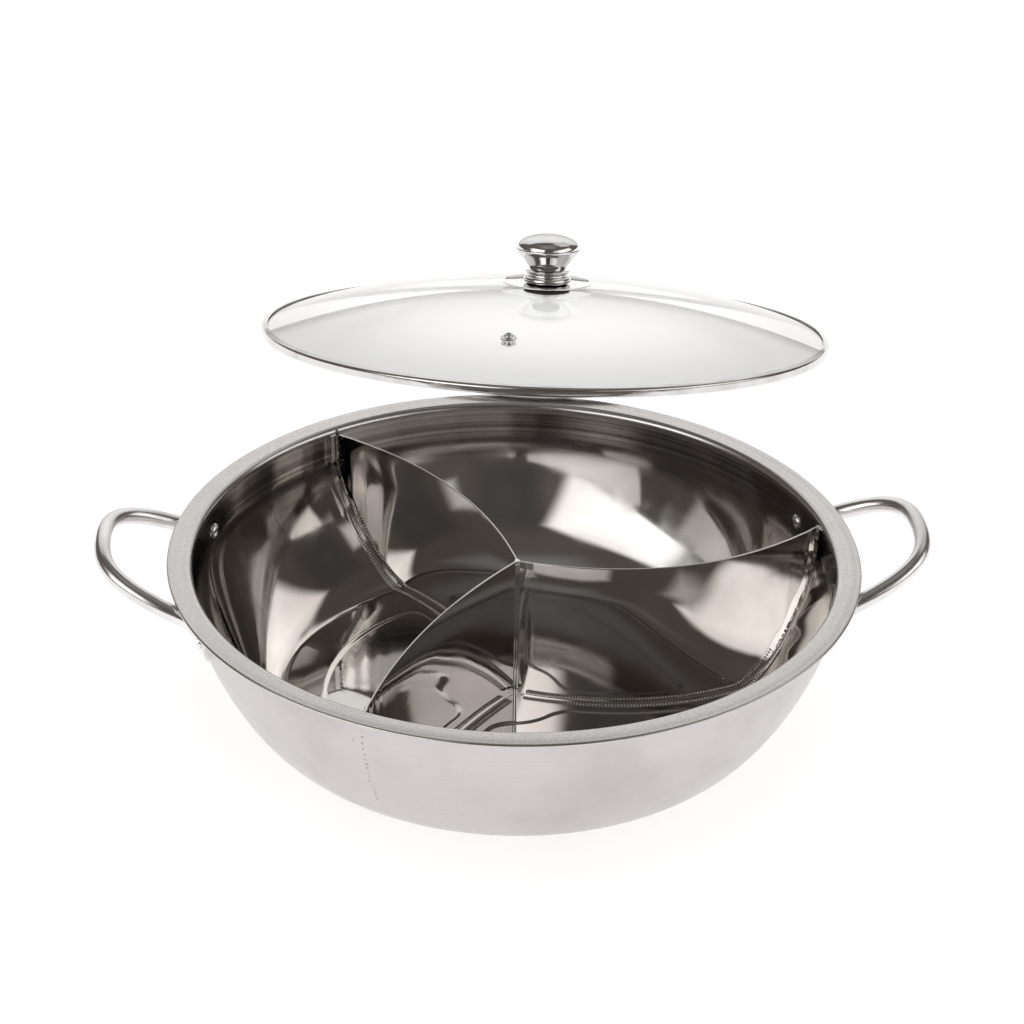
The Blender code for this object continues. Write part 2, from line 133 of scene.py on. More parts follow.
THROUGH_R = (0.0005, 0.0009)
THROUGH_H = 0.00030
THROUGH_SINK = 0.00008
THROUGH_SWAY = 0.0035              # to each side, in radians
THROUGH_DROP = 0.0060              # their row starts so far below the rim
THROUGH_LOWEST = 0.028             # and ends at this height
LUMP_R = (0.0004, 0.0010)          # lumps of the hand weld
LUMP_REACH = (0.0002, 0.0009)
LUMP_SHIFT = 0.0003
TICK_LENGTH = (0.0005, 0.0014)     # ticks on the sheet beside them
TICK_SIZE = (0.0003, 0.0002)       # half width and height
TICK_RISE = (0.0012, 0.0028)
TICK_INWARD = (0.0004, 0.0030)
TAB_FOLD_H = 0.0042                # folded tab at the seam's top
TAB_FOLD_T = 0.0003
TAB_FOLD_GAP = 0.0002              # and how far below the sheet's edge it starts
SPOT_H = 0.00025
HUB_SPOTS = (                      # distance from the hub, azimuth in degrees, size
    (0.0052, -38.0, 0.0006), (0.0040, -20.0, 0.0005), (0.0062, 188.0, 0.0005),
    (0.0046, 215.0, 0.0006), (0.0078, 203.0, 0.0004), (0.0036, -70.0, 0.0005),
)

# Handles and rivets
ROD_R = 0.0044
TAB_T = 0.0036
TAB_H = 0.0140
TAB_GAP = 0.0004                   # between the wall and the rods' flattened ends
TAB_R = WALL_R + SHEET + TAB_GAP + TAB_T / 2
RIVET_AZ = math.radians(19.4)
RIVET_DROP = 0.0170
ROD_SIDES = 32
ROD_RISE = math.tan(math.radians(25.0))
ROD_RISE_FROM = (0.1683, -0.0101)
TAB_STATIONS = ((0.052, 0.9), (0.030, 1.0), (0.0, 1.0), (-0.022, 1.0))  # radians, flatness
BEND = Vector((0.1644, 0.0493, -0.0140))
BEND_FLATNESS = 0.45
# Middle line of the rod's loop, kept so far in that the round rod stays inside the solids' box
LOOP = ((0.1678, 0.0470), (0.2063, 0.0411), (0.2119, 0.0247), (0.2119, 0.0))
RIVET_SIDES = 40
RIVET_HEAD_R = 0.0043
RIVET_HEAD_H = 0.0020
RIVET_SHANK_R = 0.0021

# Lid
LID_SIDES = 160
BAND_H = 0.0050
BAND_T = 0.0006
GLASS_T = 0.0032
GLASS_R = 0.1786
LID_R = GLASS_R + 0.0014           # outside of the band
GLASS_EDGE_Z = 0.0042
GLASS_TOP = 0.0330
SPHERE_R = (GLASS_R**2 + (GLASS_TOP - GLASS_EDGE_Z)**2) / (2 * (GLASS_TOP - GLASS_EDGE_Z))
LID_TILT = math.radians(14.60)
LID_OVERLAP = 0.0060               # of the lid's edge over the pot's flange
LID_AZ = math.radians(83.0)
LID_LIFT = 0.0002
KNOB_SIDES = 96
SMALL_SIDES = 48                   # round the screw's head and the vent
DISC_T = 0.0014
COLLAR_H = 0.0080
WASHER_T = 0.0026
SCREW_R = 0.0040
GAP = 0.0003
VENT_R = 0.118
VENT_AZ = math.radians(-98.6)

# Camera
CAMERA_AZ = math.radians(-94.3)
CAMERA_EL = math.radians(30.14)
CAMERA_DISTANCE = 1.44
CAMERA_LENS = 97.38
CAMERA_ROLL = math.radians(1.25)
CAMERA_SHIFT = (-0.0025, 0.0378)

# Stage: screens that face the pot, as name, azimuth and height in degrees, width, height,
# brightness and the share of the width that fades at the edges. Later ones stand in front.
SCREEN_MIDDLE = Vector((0.0, 0.0, 0.05))
SCREEN_DISTANCE = 2.0
SCREEN_STEP = 0.02                 # by which each later screen stands nearer
SCREEN_COLOR = (1.0, 0.985, 0.965)
SCREEN_EDGE = 0.80                 # brightness at a screen's edge against its mean
SCREENS = (
    ("top_box", 90, 88, 2.4, 2.4, 0.20, 0.30),
    ("sweep", 86, 25, 3.0, 2.0, 0.85, 0.12),
    ("key_box", -143, 28, 2.3, 1.4, 1.75, 0.13),
    ("left_box", 180, 30, 0.8, 0.7, 0.55, 0.40),
    ("right_box", -20, 24, 2.6, 1.1, 1.20, 0.05),
    ("front_box", -60, 25, 0.8, 0.5, 0.80, 0.25),
    ("back_box", 50, 45, 1.0, 1.0, 0.60, 0.15),
    ("dark_flag", -90, 28, 1.15, 1.45, 0.07, 0.38),
)
ROOM_COLOR = (0.12, 0.105, 0.095)
FLOOR_SIZE = 3.0
FLOOR_GLOW = 0.62
FLOOR_LIGHT = 1.45
FLOOR_LIGHT_ANGLE = math.radians(110.0)

UP = Vector((0.0, 0.0, 1.0))
OFF_AXIS = Vector((0.31, 0.17, 0.93))  # a direction in which no weld bead runs
SHARP_ANGLE = math.radians(40.0)
INSIDE, RIM, OUTSIDE = range(3)    # the bowl's material slots


# Mesh helpers ---------------------------------

def arc(center, radius, start, end, steps):
    """Points (r, z) on an arc between two angles in degrees."""
    angles = [math.radians(start + (end - start) * i / steps) for i in range(steps + 1)]
    return [(center[0] + radius * math.cos(a), center[1] + radius * math.sin(a)) for a in angles]


def bezier(p0, p1, p2, p3, steps):
    points = []
    for i in range(steps + 1):
        t = i / steps
        s = 1 - t
        weights = (s**3, 3 * s * s * t, 3 * s * t * t, t**3)
        points.append(tuple(sum(w * p[k] for w, p in zip(weights, (p0, p1, p2, p3))) for k in (0, 1)))
    return points


def bridge(bm, low, high, slot=0):
    """Quads between two loops of vertices of the same length."""
    count = len(low)
    for i in range(count):
        j = (i + 1) % count
        face = bm.faces.new((low[i], low[j], high[j], high[i]))
        face.material_index = slot


def add_rings(bm, rings, closed=False):
    loops = [[bm.verts.new(point) for point in ring] for ring in rings]
    for low, high in zip(loops, loops[1:]):
        bridge(bm, low, high)
    if closed:
        bridge(bm, loops[-1], loops[0])
    else:
        bm.faces.new(loops[0])
        bm.faces.new(loops[-1])


def add_turned(bm, profile, sides, closed=False):
    angles = [math.tau * i / sides for i in range(sides)]
    rings = [[(r * math.cos(a), r * math.sin(a), z) for a in angles] for r, z in profile]
    add_rings(bm, rings, closed)


def oval(middle, along, across, sides):
    """Ring of points round a middle, with two half axes given as vectors."""
    angles = [math.tau * i / sides for i in range(sides)]
    return [middle + along * math.cos(a) + across * math.sin(a) for a in angles]


def new_object(name, bm, materials):
    mesh = bpy.data.meshes.new(name)
    bm.to_mesh(mesh)
    bm.free()
    for mat in materials:
        mesh.materials.append(mat)
    obj = bpy.data.objects.new(name, mesh)
    bpy.context.collection.objects.link(obj)
    return obj


def piece(name, bm, materials, nodes=(), matrix=None):
    """Make the object, let it ride on the pot, and hide the solids that it stands for."""
    bmesh.ops.recalc_face_normals(bm, faces=bm.faces)
    if matrix is not None:
        bm.transform(matrix)
    obj = new_object(name, bm, materials)
    obj.data.shade_smooth()
    obj.data.set_sharp_from_angle(angle=SHARP_ANGLE)
    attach(obj, "root")
    if nodes:
        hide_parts(*nodes)
    return obj


def turned_piece(name, profile, sides, mat, node, place, closed=True):
    """A piece turned about its own Z axis and then put in its place."""
    bm = bmesh.new()
    add_turned(bm, profile, sides, closed)
    return piece(name, bm, [mat], [node], place)


# Bowl -----------------------------------------

def slope_curve(r_top, r_foot, z_foot):
    z_top = POT_H - WALL_DROP + BEND_RISE
    bend = (SLOPE_R + r_foot - BASE_R, z_foot)
    return bezier((r_foot, z_foot), bend, (r_top, z_top - BEND_REACH), (r_top, z_top), SLOPE_STEPS)


def blade_plan(blade, s):
    """Middle line of a partition seen from above, at a share of its length."""
    tip = Vector((math.cos(blade.tip_az), math.sin(blade.tip_az), 0.0)) * BLADE_TIP_R
    chord = tip - HUB
    side = Vector((-chord.y, chord.x, 0.0)).normalized()
    return HUB + chord * s + side * (4 * blade.bow * s * (1 - s))


def blade_angle(blade, radius):
    """Direction in which a partition crosses a circle about the pot's axis."""
    low = 0.0
    high = 1.0
    for _ in range(HALVINGS):
        middle = (low + high) / 2
        if blade_plan(blade, middle).length < radius:
            low = middle
        else:
            high = middle
    point = blade_plan(blade, low)
    return math.atan2(point.y, point.x)


def compartment_ring(first, second, grow):
    """Outline round a compartment: at 0 the pressed panel's, at 1 the whole compartment's.

    Below 0 it lies inside the panel, by so many metres.
    """
    spread = max(grow, 0.0)
    inset = max(-grow, 0.0)
    r_in = PANEL_IN + (HUB_HOLE_R - PANEL_IN) * spread + inset
    r_out = PANEL_OUT + (FLOOR_R - PANEL_OUT) * spread - inset
    corner = PANEL_CORNER * (1 - spread)
    radii = []
    for i in range(RADIAL_STEPS + 1):
        radii.append(r_in + (r_out - r_in) * (1 - math.cos(math.pi * i / RADIAL_STEPS)) / 2)
    starts = []
    ends = []
    for radius in radii:
        into = max(r_in + corner - radius, radius - r_out + corner, 0.0)
        rounding = corner - math.sqrt(max(corner**2 - into**2, 0.0))
        margin = (PANEL_MARGIN * (1 - spread) + inset + rounding) / radius
        start = blade_angle(first, radius) + margin
        end = blade_angle(second, radius) - margin
        if end < start:
            end += math.tau
        starts.append((radius, start))
        ends.append((radius, end))
    around = ends[-1][1] - starts[-1][1]
    outer = [(r_out, starts[-1][1] + around * i / ARC_STEPS) for i in range(1, ARC_STEPS)]
    around = ends[0][1] - starts[0][1]
    inner = [(r_in, ends[0][1] - around * i / INNER_STEPS) for i in range(1, INNER_STEPS)]
    return starts + outer + ends[::-1] + inner


def floor_height(grow):
    """Height of the pressed floor; the panel's edge slants down over PANEL_SLOPE."""
    share = min(max(-grow / PANEL_SLOPE, 0.0), 1.0)
    return FLOOR_T - PANEL_DEPTH * share * share * (3 - 2 * share)


def add_floor(bm):
    """The three compartments' floors; returns the loop of vertices round the whole floor."""
    outside = [1.0, 0.6, 0.3, 0.12, 0.05]
    slant = [-PANEL_SLOPE * i / 8 for i in range(9)]
    inside = [-PANEL_SLOPE - inset for inset in (0.0006, 0.0020)]
    edge = []
    for index, first in enumerate(BLADES):
        second = BLADES[(index + 1) % len(BLADES)]
        last = None
        for grow in outside + slant + inside:
            z = floor_height(grow)
            ring = compartment_ring(first, second, grow)
            loop = [bm.verts.new((r * math.cos(a), r * math.sin(a), z)) for r, a in ring]
            if last is None:
                edge.append(loop[RADIAL_STEPS:RADIAL_STEPS + ARC_STEPS])
            else:
                bridge(bm, last, loop, INSIDE)
            last = loop
        bm.faces.new(last).material_index = INSIDE
    return edge[0] + edge[1] + edge[2]


def make_bowl(materials):
    bm = bmesh.new()
    loop = add_floor(bm)
    angles = [math.atan2(vert.co.y, vert.co.x) for vert in loop]
    corner = (WALL_R + LIP_R, POT_H - LIP_R)
    hem_r = HEM_T / 2
    hem_line = RIM_R - hem_r - HEM_LINE
    upright = WALL_DROP - BEND_RISE - LIP_R
    zones = [
        (INSIDE, slope_curve(WALL_R, FLOOR_R, FLOOR_T)[1:]),
        (INSIDE, [(WALL_R, POT_H - LIP_R - upright * i / 8) for i in range(7, 0, -1)]),
        (RIM, arc(corner, LIP_R, 180, 90, 14)),
        (RIM, [(hem_line - HEM_LINE_W, POT_H), (hem_line, POT_H - HEM_LINE_DEPTH)]),
        (RIM, arc((RIM_R - hem_r, POT_H - hem_r), hem_r, 90, -90, 12)),
        (OUTSIDE, [(RIM_R - HEM_W, POT_H - HEM_T), (RIM_R - HEM_W, POT_H - SHEET)]),
        (OUTSIDE, arc(corner, LIP_R - SHEET, 90, 180, 6)),
        (OUTSIDE, slope_curve(WALL_R + SHEET, BASE_R, 0.0)[::-1]),
    ]
    for slot, profile in zones:
        for r, z in profile:
            ring = [bm.verts.new((r * math.cos(a), r * math.sin(a), z)) for a in angles]
            bridge(bm, loop, ring, slot)
            loop = ring
    bm.faces.new(loop).material_index = OUTSIDE
    bmesh.ops.remove_doubles(bm, verts=bm.verts, dist=0.00001)
    return piece("bowl", bm, materials, ["pot_bowl"])


# Partitions -----------------------------------

def inner_surface(lift):
    """The bowl's inside from the axis to the rim, moved into the bowl by a distance."""
    curve = slope_curve(WALL_R, FLOOR_R, FLOOR_T)
    profile = [Vector(p) for p in [(0.0, FLOOR_T)] + curve + [(WALL_R, POT_H)]]
    normals = []
    for low, high in zip(profile, profile[1:]):
        run = (high - low).normalized()
        normals.append(Vector((-run.y, run.x)))
    lifted = [profile[0] + normals[0] * lift]
    for point, before, after in zip(profile[1:], normals, normals[1:]):
        lifted.append(point + (before + after).normalized() * lift)
    return lifted + [profile[-1] + normals[-1] * lift]


def height_on(profile, radius):
    for low, high in zip(profile, profile[1:]):
        if radius <= high.x:
            return low.y + (high.y - low.y) * (radius - low.x) / (high.x - low.x)
    return profile[-1].y


def pull_onto(profile, point):
    """The nearest place to a point on the surface that a profile makes."""
    flat = Vector((math.hypot(point.x, point.y), point.z))
    places = []
    for low, high in zip(profile, profile[1:]):
        run = high - low
        share = min(max((flat - low).dot(run) / run.length_squared, 0.0), 1.0)
        places.append(low + run * share)
    nearest = min(places, key=lambda place: (place - flat).length)
    return Vector((point.x * nearest.x / flat.x, point.y * nearest.x / flat.x, nearest.y))


def blade_stations(blade):
    """Plan point, sideways direction and lower and upper height, from the hub to the wall."""
    profile = inner_surface(BLADE_LIFT)
    start = SEAM_R * 0.6 / BLADE_TIP_R
    stations = []
    for i in range(BLADE_STEPS + 1):
        s = start + (1 - start) * i / BLADE_STEPS
        point = blade_plan(blade, s)
        ahead = blade_plan(blade, s + 0.001) - blade_plan(blade, s - 0.001)
        side = Vector((-ahead.y, ahead.x, 0.0)).normalized()
        gap = (1 - s) * BLADE_TIP_R
        fading = math.exp(-(gap / RIPPLE_REACH)**2)
        point += side * (RIPPLE * fading * math.sin(math.tau * gap / RIPPLE_PITCH))
        low = height_on(profile, point.length)
        high = POT_H - BLADE_DROP_HUB + (BLADE_DROP_HUB - BLADE_DROP_TIP) * s
        stations.append((point, side, low, high))
    return stations


def foot_path(stations):
    """Corner line between partition and bowl: along the floor, up the slope and up the wall."""
    path = [(point + UP * low, side) for point, side, low, _ in stations if point.length > FOOT_START]
    point, side, low, high = stations[-1]
    rise = (high - low) * FOOT_WALL_SHARE / FOOT_WALL_STEPS
    for i in range(1, FOOT_WALL_STEPS + 1):
        path.append((point + UP * (low + rise * i), side))
    return path


def make_partition(blade, mat):
    stations = blade_stations(blade)
    half = BLADE_T / 2
    rings = []
    for point, side, low, high in stations:
        top = high - half
        heights = [low + (top - low) * share for share in (0.0, 0.25, 0.5, 0.75)]
        ring = [point + side * half + UP * height for height in heights]
        for angle in range(0, 181, 30):
            a = math.radians(angle)
            ring.append(point + side * (half * math.cos(a)) + UP * (top + half * math.sin(a)))
        ring += [point - side * half + UP * height for height in reversed(heights)]
        rings.append(ring)
    bm = bmesh.new()
    add_rings(bm, rings)
    surfaces = [inner_surface(lift) for lift in (0.00005, FOOT_T * 0.75, FOOT_T)]
    rings = []
    for point, side in foot_path(stations):
        across = side * blade.foot_side
        inner = point - across * (BLADE_T * 0.3)
        outer = point + across * FOOT_W
        edge = point + across * (FOOT_W - FOOT_BEVEL)
        rings.append([
            pull_onto(surfaces[0], inner), pull_onto(surfaces[0], outer), pull_onto(surfaces[1], outer),
            pull_onto(surfaces[2], edge), pull_onto(surfaces[2], inner),
        ])
    add_rings(bm, rings)
    node = f"partition_{blade.name}"
    return piece(f"{node}_sheet", bm, [mat], [node])


def add_bump(bm, place, along, across, up, length, width, height):
    """A small oval bead of weld, whose flat underside lies in the sheet."""
    rings = []
    for share, rise in ((1.0, 0.0), (0.75, 0.62), (0.35, 0.95)):
        middle = place + up * (height * rise)
        rings.append(oval(middle, along * (length * share), across * (width * share), BEAD_SIDES))
    add_rings(bm, rings)


def make_stitches(mat):
    """Marks of the welding wheel along every partition's foot, as far as the tip's hand weld."""
    bm = bmesh.new()
    surface = inner_surface(FOOT_T - STITCH_SINK)
    for blade in BLADES:
        path = foot_path(blade_stations(blade))
        path = path[:int(len(path) * (1 - blade.hand_weld)) + 2]
        reach = blade.foot_side * FOOT_W * STITCH_PLACE
        points = [pull_onto(surface, place + side * reach) for place, side in path]
        travelled = 0.0
        for (low, high), (_, side) in zip(zip(points, points[1:]), path):
            run = high - low
            along = run.normalized()
            across = (side - along * side.dot(along)).normalized()
            up = along.cross(across)
            radial_in = Vector((-low.x, -low.y, low.length)).normalized()
            if up.dot(radial_in) < 0:
                up = -up
            while travelled < run.length:
                place = low + along * travelled
                add_bump(bm, place, along, across, up, *STITCH_SIZE)
                travelled += STITCH_PITCH
            travelled -= run.length
    return piece("weld_stitches", bm, [mat])


def add_bead(bm, points, radii):
    """A round cord through points, with a radius at each."""
    rings = []
    for i, (place, radius) in enumerate(zip(points, radii)):
        ahead = (points[min(i + 1, len(points) - 1)] - points[max(i - 1, 0)]).normalized()
        across = ahead.cross(OFF_AXIS).normalized()
        rings.append(oval(place, across * radius, ahead.cross(across) * radius, BEAD_SIDES))
    add_rings(bm, rings)


def make_folds(mat):
    """Small round folds on both sides of every partition's foot."""
    bm = bmesh.new()
    surface = inner_surface(FOLD_R * 0.2)
    for blade in BLADES:
        path = foot_path(blade_stations(blade))
        for way in (-1, 1):
            points = [pull_onto(surface, place + side * (way * BLADE_T * 0.65)) for place, side in path]
            add_bead(bm, points, [FOLD_R] * len(points))
    return piece("foot_folds", bm, [mat])


def make_tip_welds(mat):
    """Lumpy hand welds where the partitions' tips meet the wall, and the ticks beside them."""
    bm = bmesh.new()
    chance = random.Random(5)
    surface = inner_surface(0.0001)
    for blade in BLADES:
        path = foot_path(blade_stations(blade))
        start = int(len(path) * (1 - blade.hand_weld))
        for way in (-1, 1):
            points = []
            for place, side in path[start:]:
                reach = way * (BLADE_T * 0.6 + chance.uniform(*LUMP_REACH))
                shift = UP * chance.uniform(-LUMP_SHIFT, LUMP_SHIFT)
                points.append(pull_onto(surface, place + side * reach) + shift)
            lumps = []
            for low, high in zip(points, points[1:]):
                for share in (0.0, 0.25, 0.5, 0.75):
                    lumps.append(low.lerp(high, share))
            add_bead(bm, lumps, [chance.uniform(*LUMP_R) for _ in lumps])
            for place, side in path[start::2]:
                tick = place + side * (way * BLADE_T * 0.52) + UP * chance.uniform(*TICK_RISE)
                inward = Vector((-place.x, -place.y, 0.0)).normalized()
                tick += inward * chance.uniform(*TICK_INWARD)
                along = (UP * 0.8 + inward * 0.6).normalized()
                length = chance.uniform(*TICK_LENGTH)
                add_bump(bm, tick, along, inward, side * way, length, *TICK_SIZE)
    rear_tip, side = foot_path(blade_stations(BLADES[0]))[-1]
    outward = Vector((rear_tip.x, rear_tip.y, 0.0)).normalized()
    lip = outward * (WALL_R + LIP_R * 0.25) + UP * (POT_H - 0.0006)
    over = rear_tip.lerp(lip, 0.6) + side * 0.0008
    hook = [rear_tip - side * 0.0014, rear_tip + UP * 0.0006, over, lip]
    add_bead(bm, hook, [0.0004, 0.0008, 0.0007, 0.0005])
    return piece("tip_welds", bm, [mat])


def make_seam(mat):
    """Seam where the partitions meet: each sheet's bent edge is a lobe, with a groove between two."""
    bm = bmesh.new()
    top = POT_H - BLADE_DROP_HUB
    aims = []
    for blade in BLADES:
        near = blade_plan(blade, 0.02) - HUB
        aims.append(math.atan2(near.y, near.x))
    rings = []
    heights = (FLOOR_T, FLOOR_T + 0.003, top - 0.003, top - 0.0006, top - 0.0001, top)
    for z, share in zip(heights, (1.0, 1.0, 1.0, 1.0, 0.8, 0.45)):
        ring = []
        for k in range(SEAM_SIDES):
            a = math.tau * k / SEAM_SIDES
            nearest = max(math.cos(a - aim) for aim in aims)
            radius = share * (SEAM_R - SEAM_LOBE + 2 * SEAM_LOBE * max(nearest, 0.0)**3)
            ring.append(HUB + Vector((radius * math.cos(a), radius * math.sin(a), z)))
        rings.append(ring)
    add_rings(bm, rings)
    return piece("hub_seam", bm, [mat], ["partition_seam"])


def make_hub_marks(weld, sheet):
    """Tab folded over the right sheet at the seam's top, and burnt spots on the floor at its foot."""
    bm = bmesh.new()
    stations = [(point, side, high) for point, side, _, high in blade_stations(BLADES[2])[:4]]
    rings = []
    for point, side, high in stations:
        out = -side * (BLADE_T / 2 + TAB_FOLD_T)
        back = -side * BLADE_T * 0.4
        corners = ((out, -TAB_FOLD_GAP), (out, -TAB_FOLD_H), (back, -TAB_FOLD_H), (back, -TAB_FOLD_GAP))
        rings.append([point + shift + UP * (high + drop) for shift, drop in corners])
    add_rings(bm, rings)
    for face in bm.faces:
        face.material_index = 1
    for radius, azimuth, size in HUB_SPOTS:
        a = math.radians(azimuth)
        place = HUB + Vector((radius * math.cos(a), radius * math.sin(a), FLOOR_T - 0.00005))
        add_bump(bm, place, Vector((1, 0, 0)), Vector((0, 1, 0)), UP, size, size * 0.8, SPOT_H)
    return piece("hub_marks", bm, [weld, sheet])


def make_through_marks(mat):
    """Rows of small spots outside, where the welds of the partitions' tips show through the wall."""
    bm = bmesh.new()
    chance = random.Random(9)
    outer = [Vector(point) for point in slope_curve(WALL_R + SHEET, BASE_R, 0.0)[::-1]]
    outer.insert(0, Vector((WALL_R + SHEET, POT_H - THROUGH_DROP)))
    for blade in BLADES:
        point = blade_plan(blade, 1.0)
        middle = math.atan2(point.y, point.x)
        travelled = THROUGH_PITCH
        for low, high in zip(outer, outer[1:]):
            run = high - low
            along = run.normalized()
            while travelled < run.length and low.y > THROUGH_LOWEST:
                a = middle + chance.uniform(-THROUGH_SWAY, THROUGH_SWAY)
                spot = low + along * travelled
                out = Vector((math.cos(a), math.sin(a), 0.0))
                normal = out * -along.y + UP * along.x
                size = chance.uniform(*THROUGH_R)
                place = out * spot.x + UP * spot.y - normal * THROUGH_SINK
                down = out * along.x + UP * along.y
                sideways = normal.cross(UP).normalized()
                add_bump(bm, place, sideways, down, normal, size, size, THROUGH_H)
                travelled += THROUGH_PITCH * chance.uniform(0.85, 1.15)
            travelled = max(travelled - run.length, 0.0)
    return piece("through_marks", bm, [mat])


# Handles and rivets ---------------------------

def radial(azimuth, radius):
    """Frame on the wall at rivet height, with its Z axis pointing out of the pot."""
    spot = (radius * math.cos(azimuth), radius * math.sin(azimuth), POT_H - RIVET_DROP)
    turn = Matrix.Rotation(azimuth, 4, "Z") @ Matrix.Rotation(math.pi / 2, 4, "Y")
    return Matrix.Translation(spot) @ turn


def smooth_path(points, steps):
    """Catmull-Rom curve through points that may carry further numbers."""
    result = []
    for i in range(len(points) - 1):
        before = points[max(i - 1, 0)]
        after = points[min(i + 2, len(points) - 1)]
        for k in range(steps):
            t = k / steps
            pair = []
            for a, b, c, d in zip(before, points[i], points[i + 1], after):
                pair.append(b + t * (c - a) / 2 + t * t * (a - 2.5 * b + 2 * c - d / 2)
                            + t**3 * (1.5 * (b - c) + (d - a) / 2))
            result.append(tuple(pair))
    result.append(tuple(points[-1]))
    return result


def handle_line():
    """Points of the rod's middle line with how flat the rod is there, from end to end."""
    stations = []
    for turn, flat in TAB_STATIONS:
        a = RIVET_AZ + turn
        stations.append((TAB_R * math.cos(a), TAB_R * math.sin(a), -RIVET_DROP, flat))
    stations.append((*BEND, BEND_FLATNESS))
    for x, y in bezier(*LOOP, 8):
        stations.append((x, y, ROD_RISE_FROM[1] + (x - ROD_RISE_FROM[0]) * ROD_RISE, 0.0))
    both = stations + [(x, -y, z, flat) for x, y, z, flat in stations[-2::-1]]
    return smooth_path(both, 6)


def make_handle(name, mat, turn):
    line = handle_line()
    places = [Vector(station[:3]) for station in line]
    rings = []
    for i, place in enumerate(places):
        ahead = (places[min(i + 1, len(places) - 1)] - places[max(i - 1, 0)]).normalized()
        outward = Vector((place.x, place.y, 0.0)).normalized()
        thick = (outward - ahead * outward.dot(ahead)).normalized()
        tall = ahead.cross(thick)
        flat = min(max(line[i][3], 0.0), 1.0)
        half_t = ROD_R + (TAB_T / 2 - ROD_R) * flat
        half_h = ROD_R + (TAB_H / 2 - ROD_R) * flat
        rings.append(oval(place, thick * half_t, tall * half_h, ROD_SIDES))
    bm = bmesh.new()
    add_rings(bm, rings)
    matrix = Matrix.Rotation(turn, 4, "Z") @ Matrix.Translation((0, 0, POT_H))
    return piece(f"{name}_rod", bm, [mat], [name], matrix)


def make_rivets(mat):
    """Domed heads inside the pot and flat heads on the rods' ends."""
    tail_z = SHEET + TAB_GAP + TAB_T
    head = []
    for angle in range(84, -1, -12):
        a = math.radians(angle)
        head.append((RIVET_HEAD_R * math.cos(a), -RIVET_HEAD_H * math.sin(a)))
    shank = [(RIVET_HEAD_R - 0.0002, 0.0), (RIVET_SHANK_R, 0.0), (RIVET_SHANK_R, tail_z)]
    tail = [(0.0034, tail_z), (0.0033, tail_z + 0.0008), (0.0028, tail_z + 0.0013)]
    tail += [(0.0010, tail_z + 0.0014)]
    index = 0
    for base in (0.0, math.pi):
        for side in (-1, 1):
            index += 1
            place = radial(base + side * RIVET_AZ, WALL_R)
            turned_piece(f"rivet_{index}_head", head + shank + tail, RIVET_SIDES, mat,
                         f"rivet_{index}", place, closed=False)


# Lid ------------------------------------------

def glass_height(radius):
    return GLASS_TOP - SPHERE_R + math.sqrt(SPHERE_R**2 - radius**2)


def lid_pose():
    reach = RIM_R - LID_OVERLAP + LID_R * math.cos(LID_TILT)
    height = LID_R * math.sin(LID_TILT) + LID_LIFT
    place = Matrix.Translation((reach * math.cos(LID_AZ), reach * math.sin(LID_AZ), height))
    return place @ Matrix.Rotation(LID_AZ - math.pi / 2, 4, "Z") @ Matrix.Rotation(-LID_TILT, 4, "X")


def vent_frame():
    z = glass_height(VENT_R)
    lean = math.asin(VENT_R / SPHERE_R)
    place = Matrix.Translation((VENT_R * math.cos(VENT_AZ), VENT_R * math.sin(VENT_AZ), z))
    return place @ Matrix.Rotation(VENT_AZ, 4, "Z") @ Matrix.Rotation(lean, 4, "Y")


def make_glass(pose, mat):
    radii = [GLASS_R * math.sin(math.radians(90 * i / 20)) for i in range(20, 1, -1)]
    outer = [(r, glass_height(r)) for r in radii + [0.0080, SCREW_R + 2 * GAP]]
    inner = [(r, z - GLASS_T) for r, z in outer[::-1]]
    glass = turned_piece("lid_dome", outer + inner, LID_SIDES, mat, "lid_glass", pose)
    glass.visible_shadow = False


def make_band(pose, mat):
    lap_r = 0.1760
    outer = [(lap_r, BAND_H + 0.0010), (lap_r + 0.0002, BAND_H + 0.0012)]
    outer += arc((LID_R - 0.0020, BAND_H - 0.0012), 0.0020, 75, 0, 8)
    outer += arc((LID_R - 0.0012, 0.0012), 0.0012, 0, -90, 6)
    inner = [(0.1766, 0.0), (0.1764, 0.0003), (0.1766, BAND_T), (GLASS_R + BAND_T, BAND_T)]
    inner += [(GLASS_R + BAND_T, GLASS_EDGE_Z + BAND_T), (lap_r, BAND_H + 0.0006)]
    turned_piece("lid_edge", outer + inner, LID_SIDES, mat, "lid_band", pose)


